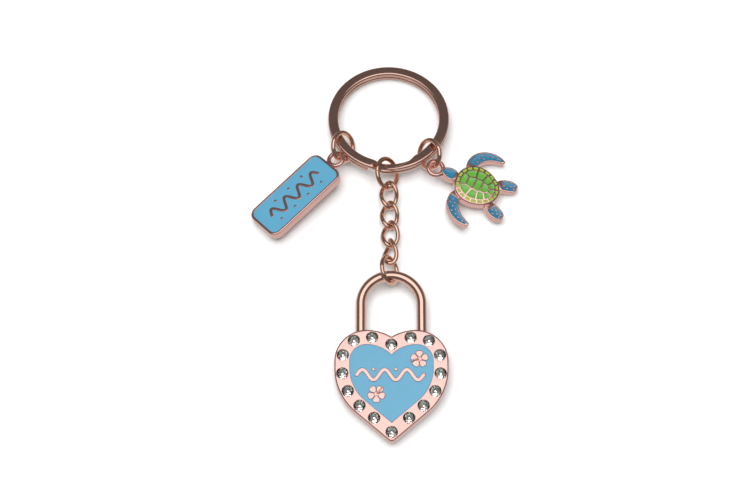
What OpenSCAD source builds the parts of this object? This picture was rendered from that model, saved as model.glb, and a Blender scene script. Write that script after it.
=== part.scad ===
/* [Split ring] */
// Outside diameter of the split ring
ring_od = 30; // [29.5:0.1:30.5]
// Width of the flat wire, measured along a radius
band_w = 2.5; // [2.3:0.05:2.5]
// Thickness of the flat wire, one turn
band_t = 1.27; // [1.1:0.01:1.28]
// Edge radius of the flat wire
band_r = 0.55; // [0.45:0.05:0.55]
// Slant of the ring as it lies, near side raised
ring_slant = 5; // [4.5:0.1:5.5]

/* [Charm rings] */
// Outside diameter of the two charm jump rings
charm_ring_od = 8.2; // [8.1:0.05:8.4]
// Wire of the two charm jump rings
charm_wire = 1.2; // [1.1:0.05:1.2]

/* [Chain] */
// Outside diameter of the jump ring on the split ring
top_ring_od = 8.5; // [8.45:0.05:8.6]
// Wire of that jump ring
top_wire = 1.15; // [1.05:0.05:1.15]
// Outside diameter of the jump ring on the shackle
low_ring_od = 7.6; // [7.6:0.05:7.7]
// Wire of that jump ring
low_wire = 1.1; // [1:0.05:1.1]
// Half length of a curb link, to the middle of its wire
link_a = 3.19; // [3.17:0.01:3.21]
// Half width of a curb link, to the middle of its wire
link_b = 1.88; // [1.87:0.01:1.9]
// Wire of the curb links
link_wire = 1.1; // [1:0.02:1.1]
// Twist of each end of a curb link
link_twist = 42.3; // [42:0.1:43]

/* [Heart] */
// Half the width of the heart
heart_half_w = 13.4; // [13.2:0.1:13.6]
// Thickness of the heart
heart_t = 3.2; // [3:0.1:3.4]
// Depth of the enamelled field
field_depth = 0.6; // [0.4:0.1:0.8]
// Diameter of each stone
stone_d = 2.75; // [2.6:0.05:2.75]
// Bar of the shackle
bar_d = 2.4; // [2.3:0.05:2.4]
// Distance between the middles of the shackle's legs
leg_gap = 14.4; // [14.2:0.1:14.6]

/* [Tag] */
// Length of the tag
tag_l = 23; // [22:0.5:23]
// Width of the tag
tag_w = 10; // [9.5:0.5:10]
// Thickness of the tag
tag_t = 2.4; // [2.2:0.1:2.6]

/* [Turtle] */
// Half length of the shell
shell_a = 5.7; // [5.5:0.1:5.9]
// Half width of the shell
shell_b = 5.1; // [4.9:0.1:5.3]
// Thickness of the flippers
limb_t = 1.9; // [1.7:0.1:2.1]
// Thickness of the shell
shell_t = 2.5; // [2.3:0.1:2.7]

/* [Hidden] */
$fn = 64;
eps = 0.01;

// Colours
rose_gold = [0.86, 0.62, 0.52];
light_blue = [0.38, 0.70, 0.86];
sea_blue = [0.13, 0.48, 0.66];
leaf_green = [0.36, 0.72, 0.25];
lime_green = [0.66, 0.78, 0.18];

// The origin is the middle of the base of the whole object's box
shift = [-0.544, -1.693, -0.004];

// Split ring
ring_ri = ring_od / 2 - band_w;
ring_rm = ring_od / 2 - band_w / 2;
turn_gap = 0.06;
ring_pos = [1.2, 35.5, ring_od / 2 * sin(ring_slant) + (band_t + turn_gap / 2) * cos(ring_slant)];
ramp_mid = 258.5;
ramp_half = 7.5;
ramp_lap = 1.2;
ramp_thin = 0.04;
tip_gap = 1.8;
taper_r = 8.77;
taper_off = 5.65;

// Charm jump rings: place round the split ring, turn of the long axis and lean
charm_r = (charm_ring_od - charm_wire) / 2;
tag_at = 215;
tag_ring_turn = 71.33;
tag_ring_lean = 51.06;
tag_ring_nudge = [0.01, 0.01, 0.06];
turtle_at = 316;
turtle_ring_turn = -68.12;
turtle_ring_lean = 52.99;
turtle_ring_nudge = [0.16, -0.47, 0.12];
ring_cut = 2;

// Chain
top_r = (top_ring_od - top_wire) / 2;
low_r = (low_ring_od - low_wire) / 2;
slack = 0.05;
band_corner = norm([band_w / 2 - band_r, band_t + turn_gap / 2 - band_r]) + band_r;
top_off = top_r - (band_corner + slack + top_wire / 2);
top_at = 268.3;
top_fold = 11.75;
top_lean = 49.1;
chain_z = [2.752, 2.051, 1.587, 1.904, 3.018];
chain_x = [1.234, 1.36, 1.524, 1.462];
link_roll = [-0.85, 7.92, 15.8, 45.6];
link_hook = [1.44, 1.32, 1.335, 1.42, 1.365];
link_rings = 48;
link_sides = 12;

// Heart, drawn about the level of its lobes' middles
lobe_x = 5.8;
lobe_r = heart_half_w - lobe_x;
inner_r = 11;
side_r = 14;
side_y = -1.7;
side_end = 49.5;
tip_r = 1.2;
field_inset = 3.6;
field_lobe_r = 3.9;
field_inner_r = 8.2;
field_top = 3.95;
padlock_tilt = 2.4;
arch_y = 14.3;
leg_in = 6.2;
spigot_r = 0.6;
spigot_in = 3.6;
fit_gap = 0.02;
seat_r = stone_d / 2 + 0.04;
seat_depth = 0.9;
seat_inset = 1.85;
seat_last = 4.05;

function pt(c, r, a) = [c[0] + r * cos(a), c[1] + r * sin(a)];
function arc(c, r, a0, a1, n) = [for (i = [0:n]) pt(c, r, a0 + (a1 - a0) * i / n)];
function mirrored(p) = [for (i = [len(p) - 1:-1:0]) [-p[i][0], p[i][1]]];

// The right half of the heart's outline from the notch round to the tip, moved in by d
function heart_side_c() = [heart_half_w - side_r, side_y];
function heart_tip_y(d) = side_y - (side_r - d) * sin(side_end)
    - (heart_side_c()[0] + (side_r - d) * cos(side_end)) / tan(side_end);
function heart_half(d) = concat(
    arc([lobe_x, lobe_r - inner_r], inner_r - d, acos(-lobe_x / (inner_r - d)), 90, 8),
    arc([lobe_x, 0], lobe_r - d, 82, 0, 12),
    arc(heart_side_c(), side_r - d, 0, -side_end, 12),
    d < tip_r ? arc([0, heart_tip_y(d) + (tip_r - d) / cos(90 - side_end)], tip_r - d,
        -side_end - 5, -90, 4) : [[0, heart_tip_y(d)]]);
function heart_pts(d) = let (h = heart_half(d)) concat(h, mirrored([for (i = [1:len(h) - 2]) h[i]]));

// The enamelled field: its own lobes above, the outline's offset below
function field_half(d) = let (lx = heart_half_w - field_inset - field_lobe_r, ly = field_top - field_lobe_r)
    concat(
        arc([lx, field_top - field_inner_r], field_inner_r - d, acos(-lx / (field_inner_r - d)), 90, 8),
        arc([lx, ly], field_lobe_r - d, 82, 0, 10),
        arc(heart_side_c(), side_r - field_inset - d, 0, -side_end, 10),
        [[0, heart_tip_y(field_inset + d)]]);
function field_pts(d) = let (h = field_half(d)) concat(h, mirrored([for (i = [1:len(h) - 2]) h[i]]));

// Sixteen seats: notch, tip and seven down each side, evenly along the middle of the border
function seat_path() = concat(
    arc([lobe_x, lobe_r - inner_r], inner_r - seat_inset, 98, 90, 4),
    arc([lobe_x, 0], lobe_r - seat_inset, 88, 0, 24),
    arc(heart_side_c(), side_r - seat_inset, 0, -side_end, 24),
    [[seat_last, heart_tip_y(seat_inset) + seat_last / tan(side_end)]]);
function run(p, i = 0) = i >= len(p) - 1 ? 0 : norm(p[i + 1] - p[i]) + run(p, i + 1);
function along(p, s, i = 0) = let (l = norm(p[i + 1] - p[i]))
    s <= l || i >= len(p) - 2 ? p[i] + (p[i + 1] - p[i]) * s / l : along(p, s - l, i + 1);
seat_side = let (p = seat_path(), l = run(p)) [for (i = [0:6]) along(p, l * i / 6)];
notch_seat = [0, 3.95];
tip_seat = [0, heart_tip_y(seat_inset) + 0.1];
seats = concat([notch_seat, tip_seat], seat_side, [for (p = seat_side) [-p[0], p[1]]]);

// Tag
tag_pos = [-21.44, 14.51, 2.82];
tag_turn = 44.55;
tag_roll = -11.87;
tag_pitch = 3.68;
tag_corner = 2.2;
tag_rim = 0.6;
tag_depth = 0.5;
tag_loop_r = 1.75;
tag_loop_wire = 1.1;
tag_loop_x = tag_l / 2 + 2.1;

// Turtle
turtle_pos = [22.51, 16.87, 1.35];
turtle_turn = 64.1;
turtle_roll = 7.16;
turtle_pitch = -0.87;
turtle_loop_r = 1.85;
turtle_loop_wire = 1.2;
turtle_loop_y = 11.12;
turtle_loop_z = 1.04;
cell_depth = 0.4;
cell_wall = 0.34;
rim_in = 0.45;
rim_out = 1.05;
rim_cells = 20;
scute_sites = concat(
    [for (y = [3.7, 1.8, 0, -1.8, -3.9]) [0, y]],
    [for (s = [-1, 1], q = [[2.5, 2.6], [3, 0.1], [2.5, -1.9], [1.5, -3.3]]) [s * q[0], q[1]]]);

// Frames

// Put a piece into the split ring's own frame, as it lies
module on_ring() {
    translate(ring_pos) rotate([-ring_slant, 0, 0]) children();
}

function ring_to_world(p) = ring_pos + [p[0],
    p[1] * cos(ring_slant) + p[2] * sin(ring_slant), -p[1] * sin(ring_slant) + p[2] * cos(ring_slant)];
function band_at(a) = ring_to_world([ring_rm * cos(a), ring_rm * sin(a), 0]);

// A round-wire ring, cut through once as a jump ring is
module wire_ring(r, wire) {
    rotate([0, 0, 90 + ring_cut / 2])
        rotate_extrude(angle = 360 - ring_cut, $fn = 96) translate([r, 0]) circle(d = wire, $fn = 32);
}

function band_section(d) = let (h = band_t / 2 - d, w = band_w / 2 - d, r = band_r - d) concat(
    arc([w - r, h - r], r, 0, 90, 4), arc([r - w, h - r], r, 90, 180, 4),
    arc([r - w, r - h], r, 180, 270, 4), arc([w - r, r - h], r, 270, 360, 4));

// A stretch of one turn of the flat wire, thinned by d all round
module band_arc(from, sweep, side, d = 0) {
    translate([0, 0, side * (band_t + turn_gap) / 2]) rotate([0, 0, from])
        rotate_extrude(angle = sweep, $fn = 120) translate([ring_rm, 0]) polygon(band_section(d));
}

// What is ground off the inner edge towards a tip
module tip_cut(toward) {
    intersection() {
        translate([taper_off * cos(ramp_mid + toward * 3.5), taper_off * sin(ramp_mid + toward * 3.5), -5])
            cylinder(r = taper_r, h = 10, $fn = 128);
        rotate([0, 0, toward > 0 ? ramp_mid : ramp_mid - 50])
            rotate_extrude(angle = 50, $fn = 96) translate([ring_ri / 2, -5]) square([ring_od, 10]);
    }
}

module split_ring() {
    turn_sweep = 360 - 2 * ramp_half;
    color(rose_gold) translate(shift) on_ring() {
        difference() {
            band_arc(ramp_mid + ramp_half + tip_gap, turn_sweep - tip_gap, 1);
            tip_cut(1);
        }
        difference() {
            band_arc(ramp_mid + ramp_half, turn_sweep - tip_gap, -1);
            tip_cut(-1);
        }
        hull() {
            band_arc(ramp_mid - ramp_half - ramp_lap, 0.3, 1, ramp_thin);
            band_arc(ramp_mid + ramp_half + ramp_lap - 0.3, 0.3, -1, ramp_thin);
        }
    }
}

module charm_ring(place, turn, lean, nudge) {
    color(rose_gold) translate(shift) translate(band_at(place) + nudge)
        rotate([0, 0, turn]) rotate([lean, 0, 0]) wire_ring(charm_r, charm_wire);
}

module tag_jump_ring() {
    charm_ring(tag_at, tag_ring_turn, tag_ring_lean, tag_ring_nudge);
}

module turtle_jump_ring() {
    charm_ring(turtle_at, turtle_ring_turn, turtle_ring_lean, turtle_ring_nudge);
}

// Chain

top_pivot = band_at(top_at);
top_reach = top_off + top_r;
near_wire = top_pivot + [0, -top_reach * cos(top_fold), -top_reach * sin(top_fold)];

module chain_top_ring() {
    color(rose_gold) translate(shift) translate(top_pivot) rotate([top_fold, 0, 0])
        translate([0, -top_off, 0]) rotate([0, 0, 90]) rotate([top_lean, 0, 0]) wire_ring(top_r, top_wire);
}

// Points of a curb link's middle line: an ellipse whose two ends are twisted against each other
function link_mid(t) = let (f = link_twist * sin(t))
    [link_b * cos(t) * cos(f), link_a * sin(t), link_b * cos(t) * sin(f)];
function unit(v) = v / norm(v);
function link_ring(t) = let (d = unit(link_mid(t + 1) - link_mid(t - 1)), o = unit(link_mid(t)),
    u = unit(o - d * (o * d)), v = cross(d, u))
    [for (k = [0:link_sides - 1]) let (a = 360 * k / link_sides)
        link_mid(t) + link_wire / 2 * (u * cos(a) + v * sin(a))];

module curb_link() {
    pts = [for (i = [0:link_rings - 1]) each link_ring(360 * i / link_rings)];
    faces = [for (i = [0:link_rings - 1], k = [0:link_sides - 1])
        let (j = (i + 1) % link_rings, m = (k + 1) % link_sides)
        each [[i * link_sides + k, j * link_sides + k, j * link_sides + m],
              [i * link_sides + k, j * link_sides + m, i * link_sides + m]]];
    polyhedron(pts, faces, convexity = 6);
}

// Each link's slope, and the middle of the wire at its upper end
function link_slope(i) = asin((chain_z[i] - chain_z[i + 1]) / (2 * link_a));
function link_top(i) = i == 0 ? [chain_x[0], near_wire[1] + link_hook[0], chain_z[0]]
    : let (p = link_top(i - 1), s = link_slope(i - 1))
        [chain_x[i], p[1] - 2 * link_a * cos(s) + link_hook[i], chain_z[i]];
function link_low(i) = let (p = link_top(i), s = link_slope(i))
    [p[0], p[1] - 2 * link_a * cos(s), p[2] - 2 * link_a * sin(s)];

module link_at(i) {
    color(rose_gold) translate(shift) translate(link_top(i)) rotate([link_slope(i), 0, 0])
        translate([0, -link_a, 0]) rotate([0, -link_roll[i], 0]) curb_link();
}

module curb_link_1() {
    link_at(0);
}

module curb_link_2() {
    link_at(1);
}

module curb_link_3() {
    link_at(2);
}

module curb_link_4() {
    link_at(3);
}

// The lower ring's far wire sits inside the last link's end
low_far = link_low(3) + [0, link_hook[4], 0];
bar_slack = 0.08;
bar_reach = bar_d / 2 + low_wire / 2 + bar_slack;
low_fold = 3.99;
low_lean = 55.7;
low_x = 1.31;
bar_x = 1.67;
bar_pos = [bar_x, low_far[1] - (2 * low_r - bar_reach) * cos(low_fold),
           low_far[2] + (2 * low_r - bar_reach) * sin(low_fold)];

module chain_bottom_ring() {
    color(rose_gold) translate(shift) translate([low_x, low_far[1], low_far[2]]) rotate([-low_fold, 0, 0])
        translate([0, -low_r, 0]) rotate([0, 0, 90]) rotate([low_lean, 0, 0]) wire_ring(low_r, low_wire);
}

// Padlock charm, drawn flat with its back at zero, then laid with its bar on the ring
bar_y = arch_y + leg_gap / 2;

module as_padlock() {
    translate(shift) translate(bar_pos) rotate([padlock_tilt, 0, 0])
        translate([0, -bar_y, -heart_t / 2]) children();
}

module leg_bore(extra) {
    for (s = [-1, 1]) translate([s * leg_gap / 2, 0, heart_t / 2]) rotate([-90, 0, 0]) {
        translate([0, 0, leg_in - extra]) cylinder(d = bar_d + 2 * extra, h = arch_y - leg_in + extra, $fn = 48);
        translate([0, 0, spigot_in - extra]) cylinder(r = spigot_r + extra, h = leg_in - spigot_in + extra, $fn = 32);
    }
}

module shackle() {
    color(rose_gold) as_padlock() {
        leg_bore(0);
        translate([0, arch_y, heart_t / 2])
            rotate_extrude(angle = 180, $fn = 128) translate([leg_gap / 2, 0]) circle(d = bar_d, $fn = 48);
    }
}

// Raised ornament of the field: two five-petal flowers and a rolling wave, plain and symmetrical
function petal_r(a) = 0.62 + 0.38 * pow(abs(cos(a * 5 / 2)), 0.6);
function flower_pts(r) = [for (i = [0:59]) pt([0, 0], r * petal_r(i * 6), i * 6)];
function wave_pts(l, amp, waves, w, n) = let (
    f = function (s) [l * (s - 0.5), amp * sin(360 * waves * s)],
    g = function (s, e) let (d = unit(f(s + 0.002) - f(s - 0.002)),
        h = w / 2 * sqrt(max(0.5, sin(180 * s)))) f(s) + e * h * [-d[1], d[0]])
    concat([for (i = [0:n]) g(i / n, 1)], [for (i = [n:-1:0]) g(i / n, -1)]);

flower_1 = [6.55, 0.4];
flower_2 = [-3.55, -8];
flower_r = 2.15;
wave_y = -3.4;

module ornament(grow) {
    for (f = [[flower_1, 90], [flower_2, 126]]) translate(f[0]) rotate([0, 0, f[1]])
        polygon(flower_pts(flower_r + grow));
    translate([-0.3, wave_y]) polygon(wave_pts(15.6, 1.25, 3, 0.9 + 2 * grow, 60));
    for (s = [-1, 1]) translate([s * 2.6 - 1.6, wave_y + 1.3]) circle(r = 0.42 + grow, $fn = 24);
}

module heart_casting() {
    color(rose_gold) as_padlock() {
        difference() {
            linear_extrude(heart_t) polygon(heart_pts(0));
            translate([0, 0, heart_t - field_depth]) linear_extrude(1) polygon(field_pts(0));
            leg_bore(fit_gap);
            for (p = seats) translate([p[0], p[1], heart_t - seat_depth]) cylinder(r = seat_r, h = 2, $fn = 32);
        }
        translate([0, 0, heart_t - field_depth - eps]) linear_extrude(field_depth + eps + 0.05) ornament(0);
    }
}

module heart_enamel() {
    color(light_blue) as_padlock()
        translate([0, 0, heart_t - field_depth]) linear_extrude(field_depth - 0.08) difference() {
            polygon(field_pts(0.01));
            ornament(0.01);
        }
}

// A round-cut stone: pointed back, straight girdle and a crown with a flat top
module stone() {
    r = stone_d / 2;
    translate([0, 0, -0.75]) cylinder(r1 = 0.25, r2 = r, h = 0.75, $fn = 32);
    cylinder(r = r, h = 0.12, $fn = 32);
    translate([0, 0, 0.12]) cylinder(r1 = r, r2 = 0.62 * r, h = 0.38, $fn = 32);
}

module rhinestones() {
    color([0.9, 0.93, 0.9]) as_padlock()
        for (p = seats) translate([p[0], p[1], heart_t - 0.12]) stone();
}

module stone_glue() {
    color([0.5, 0.5, 0.48]) as_padlock()
        for (p = seats) translate([p[0], p[1], heart_t - seat_depth]) difference() {
            cylinder(r = seat_r - 0.01, h = 0.35, $fn = 32);
            translate([0, 0, seat_depth - 0.12 - 0.75]) cylinder(r1 = 0.26, r2 = stone_d / 2 + 0.01, h = 0.75, $fn = 32);
        }
}

// Tag

module as_tag() {
    translate(shift) translate(tag_pos) rotate([0, 0, tag_turn]) rotate([0, -tag_pitch, 0])
        rotate([tag_roll, 0, 0]) translate([0, 0, -tag_t / 2]) children();
}

function round_rect(l, w, r) = concat(arc([l / 2 - r, w / 2 - r], r, 0, 90, 8),
    arc([r - l / 2, w / 2 - r], r, 90, 180, 8), arc([r - l / 2, r - w / 2], r, 180, 270, 8),
    arc([l / 2 - r, r - w / 2], r, 270, 360, 8));

// Raised lines of the tag: a rolling wave between two rows of dots
module tag_lines(grow) {
    polygon(wave_pts(15.5, 1.5, 3.5, 0.75 + 2 * grow, 70));
    for (i = [-3:3]) translate([i * 2.214, (i % 2 == 0 ? 1 : -1) * 2.45])
        circle(r = 0.36 + grow, $fn = 24);
}

module tag_plate() {
    color(rose_gold) as_tag() {
        difference() {
            linear_extrude(tag_t) polygon(round_rect(tag_l, tag_w, tag_corner));
            translate([0, 0, tag_t - tag_depth]) linear_extrude(1)
                polygon(round_rect(tag_l - 2 * tag_rim, tag_w - 2 * tag_rim, tag_corner - tag_rim));
        }
        translate([0, 0, tag_t - tag_depth - eps]) linear_extrude(tag_depth + eps - 0.05) tag_lines(0);
        translate([tag_loop_x, 0, tag_t / 2])
            rotate_extrude($fn = 64) translate([tag_loop_r, 0]) circle(d = tag_loop_wire, $fn = 24);
    }
}

module tag_enamel() {
    color(light_blue) as_tag()
        translate([0, 0, tag_t - tag_depth]) linear_extrude(tag_depth - 0.06) difference() {
            polygon(round_rect(tag_l - 2 * tag_rim - 0.02, tag_w - 2 * tag_rim - 0.02, tag_corner - tag_rim));
            tag_lines(0.01);
        }
}

// Turtle: nose towards +Y, back at zero

module as_turtle() {
    translate(shift) translate(turtle_pos) rotate([turtle_pitch, turtle_roll, 0])
        rotate([0, 0, turtle_turn]) children();
}

// The shell's outline: an egg, broader towards the head
function shell_pts(d, n = 72) = [for (i = [0:n - 1]) let (a = 360 * i / n)
    [(shell_b - d) * cos(a) * (1 + 0.1 * sin(a)), (shell_a - d) * sin(a)]];

// A limb's outline: a curved middle line from a root, and a width that swells and comes to a blunt tip
function limb_mid(q, s) = let (k = q[4], a0 = q[2])
    [q[0] + q[3] * (cos(a0 + k * s / 2)) * s, q[1] + q[3] * (sin(a0 + k * s / 2)) * s];
function limb_w(q, s, d) = max(0.02, q[5] * pow(s, q[7]) * pow(1 - s, q[6]) * q[8] - d);
function limb_pts(q, d, n = 20) = let (
    f = function (s) limb_mid(q, s),
    g = function (s, e) let (t = unit(f(min(s + 0.01, 1)) - f(max(s - 0.01, 0))))
        f(s) + e * limb_w(q, s, d) * [-t[1], t[0]],
    s0 = d > 0 ? 0.13 : 0.0, s1 = d > 0 ? 0.93 : 0.985)
    concat([for (i = [0:n]) g(s0 + (s1 - s0) * i / n, 1)], [for (i = [n:-1:0]) g(s0 + (s1 - s0) * i / n, -1)]);

// Limbs: root x, root y, first heading, length, bend, half width, tip and root powers, scale
front_right = [3.1, 2.8, 40, 8.9, -172, 1.5, 0.5, 0.35, 1.75];
front_left = [-3.1, 3, 140, 9.0, 156, 1.5, 0.5, 0.35, 1.75];
rear_right = [2.2, -3.6, -48, 5.9, -40, 1.65, 0.38, 0.5, 1.75];
rear_left = [-2.2, -3.6, 228, 5.9, 40, 1.65, 0.38, 0.5, 1.75];
limbs = [front_left, front_right, rear_left, rear_right];

function head_pts(d) = [for (i = [0:35]) let (a = i * 10)
    [(1.6 - d) * cos(a) * (1 - 0.12 * sin(a)), 7.35 + (2.2 - d) * sin(a)]];

// Small raised dots on a limb, along its middle line
module limb_dots(q, grow) {
    for (s = [0.3, 0.48, 0.66, 0.82]) translate(limb_mid(q, s)) circle(r = 0.3 + grow, $fn = 16);
}

// Keep the part of a convex outline on the near side of the line through m square to n
function clipped(p, m, n) = [for (i = [0:len(p) - 1]) let (a = p[i], b = p[(i + 1) % len(p)],
    da = (a - m) * n, db = (b - m) * n)
    each concat(da <= 0 ? [a] : [], (da < 0 && db > 0) || (da > 0 && db < 0) ? [a + (b - a) * da / (da - db)] : [])];
function cell(i, p, j = 0) = j >= len(scute_sites) ? p
    : j == i ? cell(i, p, j + 1)
    : let (a = scute_sites[i], b = scute_sites[j], n = unit(b - a))
        cell(i, clipped(p, (a + b) / 2 - n * cell_wall / 2, n), j + 1);

module scutes() {
    for (i = [0:len(scute_sites) - 1]) polygon(cell(i, shell_pts(rim_out + cell_wall, 48)));
}

// The ring of small cells round the shell
module rim_row(shrink) {
    for (i = [0:rim_cells - 1]) let (s = 360 / rim_cells, a0 = i * s + 2.4, a1 = (i + 1) * s - 2.4,
        f = function (a, d) [(shell_b - d) * cos(a) * (1 + 0.1 * sin(a)), (shell_a - d) * sin(a)])
        polygon(concat([for (k = [0:4]) f(a0 + (a1 - a0) * k / 4, rim_in + shrink)],
            [for (k = [4:-1:0]) f(a0 + (a1 - a0) * k / 4, rim_out - shrink)]));
}

module turtle_casting() {
    color(rose_gold) as_turtle() {
        difference() {
            union() {
                linear_extrude(shell_t) polygon(shell_pts(0));
                for (q = limbs) linear_extrude(limb_t) polygon(limb_pts(q, 0));
                linear_extrude(limb_t + 0.3) polygon(head_pts(0));
            }
            translate([0, 0, shell_t - cell_depth]) linear_extrude(1) scutes();
            translate([0, 0, shell_t - cell_depth]) linear_extrude(1) rim_row(0);
            for (q = limbs) translate([0, 0, limb_t - cell_depth]) linear_extrude(shell_t) difference() {
                polygon(limb_pts(q, 0.4));
                polygon(shell_pts(-0.35));
                limb_dots(q, 0);
            }
            translate([0, 0, limb_t + 0.3 - cell_depth]) linear_extrude(shell_t) difference() {
                polygon(head_pts(0.4));
                polygon(shell_pts(-0.35));
            }
        }
        translate([0, turtle_loop_y, turtle_loop_z])
            rotate_extrude($fn = 64) translate([turtle_loop_r, 0]) circle(d = turtle_loop_wire, $fn = 24);
    }
}

module limb_enamel(q) {
    color(sea_blue) as_turtle() translate([0, 0, limb_t - cell_depth])
        linear_extrude(cell_depth - 0.05) difference() {
            polygon(limb_pts(q, 0.41));
            polygon(shell_pts(-0.36));
            limb_dots(q, 0.01);
        }
}

module front_left_flipper_enamel() {
    limb_enamel(front_left);
}

module front_right_flipper_enamel() {
    limb_enamel(front_right);
}

module rear_left_flipper_enamel() {
    limb_enamel(rear_left);
}

module rear_right_flipper_enamel() {
    limb_enamel(rear_right);
}

module turtle_head_enamel() {
    color(sea_blue) as_turtle() translate([0, 0, limb_t + 0.3 - cell_depth])
        linear_extrude(cell_depth - 0.05) difference() {
            polygon(head_pts(0.41));
            polygon(shell_pts(-0.36));
        }
}

module turtle_scute_enamel() {
    color(leaf_green) as_turtle() translate([0, 0, shell_t - cell_depth])
        linear_extrude(cell_depth - 0.05) scutes();
}

module turtle_rim_enamel() {
    color(lime_green) as_turtle() translate([0, 0, shell_t - cell_depth])
        linear_extrude(cell_depth - 0.05) rim_row(0);
}

split_ring();
tag_jump_ring();
tag_plate();
tag_enamel();
turtle_jump_ring();
turtle_casting();
turtle_head_enamel();
front_left_flipper_enamel();
front_right_flipper_enamel();
rear_left_flipper_enamel();
rear_right_flipper_enamel();
turtle_scute_enamel();
turtle_rim_enamel();
chain_top_ring();
curb_link_1();
curb_link_2();
curb_link_3();
curb_link_4();
chain_bottom_ring();
shackle();
heart_casting();
heart_enamel();
rhinestones();
stone_glue();
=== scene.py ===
import math

import bmesh
import bpy
import numpy as np
from mathutils import Matrix, Vector
from mathutils.geometry import delaunay_2d_cdt


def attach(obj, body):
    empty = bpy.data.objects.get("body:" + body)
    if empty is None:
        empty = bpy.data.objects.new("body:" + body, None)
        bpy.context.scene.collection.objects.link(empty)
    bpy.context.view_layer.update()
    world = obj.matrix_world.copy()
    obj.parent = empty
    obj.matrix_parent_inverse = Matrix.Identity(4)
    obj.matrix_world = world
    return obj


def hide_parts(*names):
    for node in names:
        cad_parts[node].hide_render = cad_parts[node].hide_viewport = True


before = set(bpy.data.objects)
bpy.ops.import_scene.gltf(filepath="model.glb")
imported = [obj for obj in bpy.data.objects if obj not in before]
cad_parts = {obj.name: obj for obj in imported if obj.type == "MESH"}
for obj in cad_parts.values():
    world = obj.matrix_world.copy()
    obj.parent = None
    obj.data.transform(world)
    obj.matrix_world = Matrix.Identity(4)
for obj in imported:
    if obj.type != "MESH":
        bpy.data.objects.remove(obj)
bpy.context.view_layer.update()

# Split ring
# The ring that holds the keys: one strip of flat steel wire wound twice round, rose-gold plated and
# polished. Its two ends are ground thin on the inside, and the strip steps from one turn to the other.
MM = 0.001
TABLE_MIDDLE = np.array([-0.544, -1.693, -0.004])
RING_MIDDLE = np.array([1.2, 35.5, 2.603])
RING_SLANT = 5
RING_OUTER, RING_BORE = 15.0, 12.5
TURN_THICK, TURN_STEP = 1.27, 0.665
WIRE_EDGE = 0.55
STEP_ANGLE, STEP_HALF, END_GAP = 258.5, 7.5, 1.8
GRIND_RADIUS, GRIND_OFFSET, GRIND_SWEEP = 8.77, 5.65, 50
BAND_HALF_WIDE, BAND_HALF_HIGH = 1.25, 1.3
SECTION_CORNERS = 24


def turn(axis, degrees):
    return np.array(Matrix.Rotation(math.radians(degrees), 3, axis))


def polar(radius, degrees):
    return np.array([radius * math.cos(math.radians(degrees)), radius * math.sin(math.radians(degrees))])


class Value:
    """A number in a material's node tree. Python's operators on it add the Math nodes."""

    def __init__(self, tree, socket):
        self.tree, self.socket = tree, socket

    def maths(self, operation, first, second):
        node = self.tree.nodes.new("ShaderNodeMath")
        node.operation = operation
        for place, given in enumerate((first, second)):
            if isinstance(given, Value):
                self.tree.links.new(given.socket, node.inputs[place])
            else:
                node.inputs[place].default_value = given
        return Value(self.tree, node.outputs[0])

    def __add__(self, other):
        return self.maths("ADD", self, other)

    def __mul__(self, other):
        return self.maths("MULTIPLY", self, other)

    __radd__ = __add__
    __rmul__ = __mul__


class Finish:
    """One surface finish: a material with its Principled shader, and the method that makes any other node."""

    def __init__(self, name, constants):
        self.material = bpy.data.materials.new(name)
        self.material.use_nodes = True
        self.tree = self.material.node_tree
        self.shader = self.tree.nodes["Principled BSDF"]
        for socket, value in constants.items():
            self.shader.inputs[socket].default_value = value
        self.on_object = self.make("ShaderNodeTexCoord", {}, {}, "Object")

    def make(self, kind, settings, sockets, output):
        node = self.tree.nodes.new(kind)
        for name, value in settings.items():
            setattr(node, name, value)
        for name, value in sockets.items():
            if isinstance(value, Value):
                self.tree.links.new(value.socket, node.inputs[name])
            else:
                node.inputs[name].default_value = value
        return Value(self.tree, node.outputs[output])

    def grain(self, stretch, size, detail=2.0):
        """Noise on the object's own coordinates. stretch is cells per metre along each axis."""
        place = self.make("ShaderNodeMapping", {}, {"Vector": self.on_object, "Scale": stretch,
                          "Rotation": (0.0, 0.0, 0.5)}, "Vector")
        return self.make("ShaderNodeTexNoise", {}, {"Vector": place, "Scale": size, "Detail": detail}, "Fac")

    def blend(self, amount, low, high):
        return self.make("ShaderNodeMix", {"data_type": "RGBA"},
                         {"Factor": amount, 6: low, 7: high}, 2)

    def wear(self, socket, value):
        self.tree.links.new(value.socket, self.shader.inputs[socket])

    def bump(self, height, depth):
        self.wear("Normal", self.make("ShaderNodeBump", {}, {"Height": height, "Distance": depth,
                                      "Strength": 1.0}, "Normal"))


def rose_gold(name, bright, deep, shine):
    metal = Finish(name, {"Metallic": 1.0})
    cloud = metal.grain((1, 1, 1), 260.0)
    hairlines = metal.grain((900, 14000, 900), 1.0, 3.0)
    handling = metal.grain((1, 1, 1), 1500.0, 4.0)
    metal.wear("Base Color", metal.blend(cloud, deep, bright))
    metal.wear("Roughness", shine + 0.10 * cloud * handling + 0.05 * hairlines)
    metal.bump(hairlines * 0.35 + handling * 0.65, 0.000004)
    return metal.material


BRIGHT_GOLD = (0.90, 0.575, 0.525, 1)
DEEP_GOLD = (0.82, 0.49, 0.44, 1)
rolled_gold = rose_gold("rolled_rose_gold", (0.78, 0.50, 0.42, 1), (0.66, 0.40, 0.33, 1), 0.08)


def finished(name, mesh, body, nodes):
    """A finished piece: it rides on its body and stands for its CAD nodes, which it hides."""
    piece = bpy.data.objects.new(name, mesh)
    bpy.context.scene.collection.objects.link(piece)
    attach(piece, body)
    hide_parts(*nodes)


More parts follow.
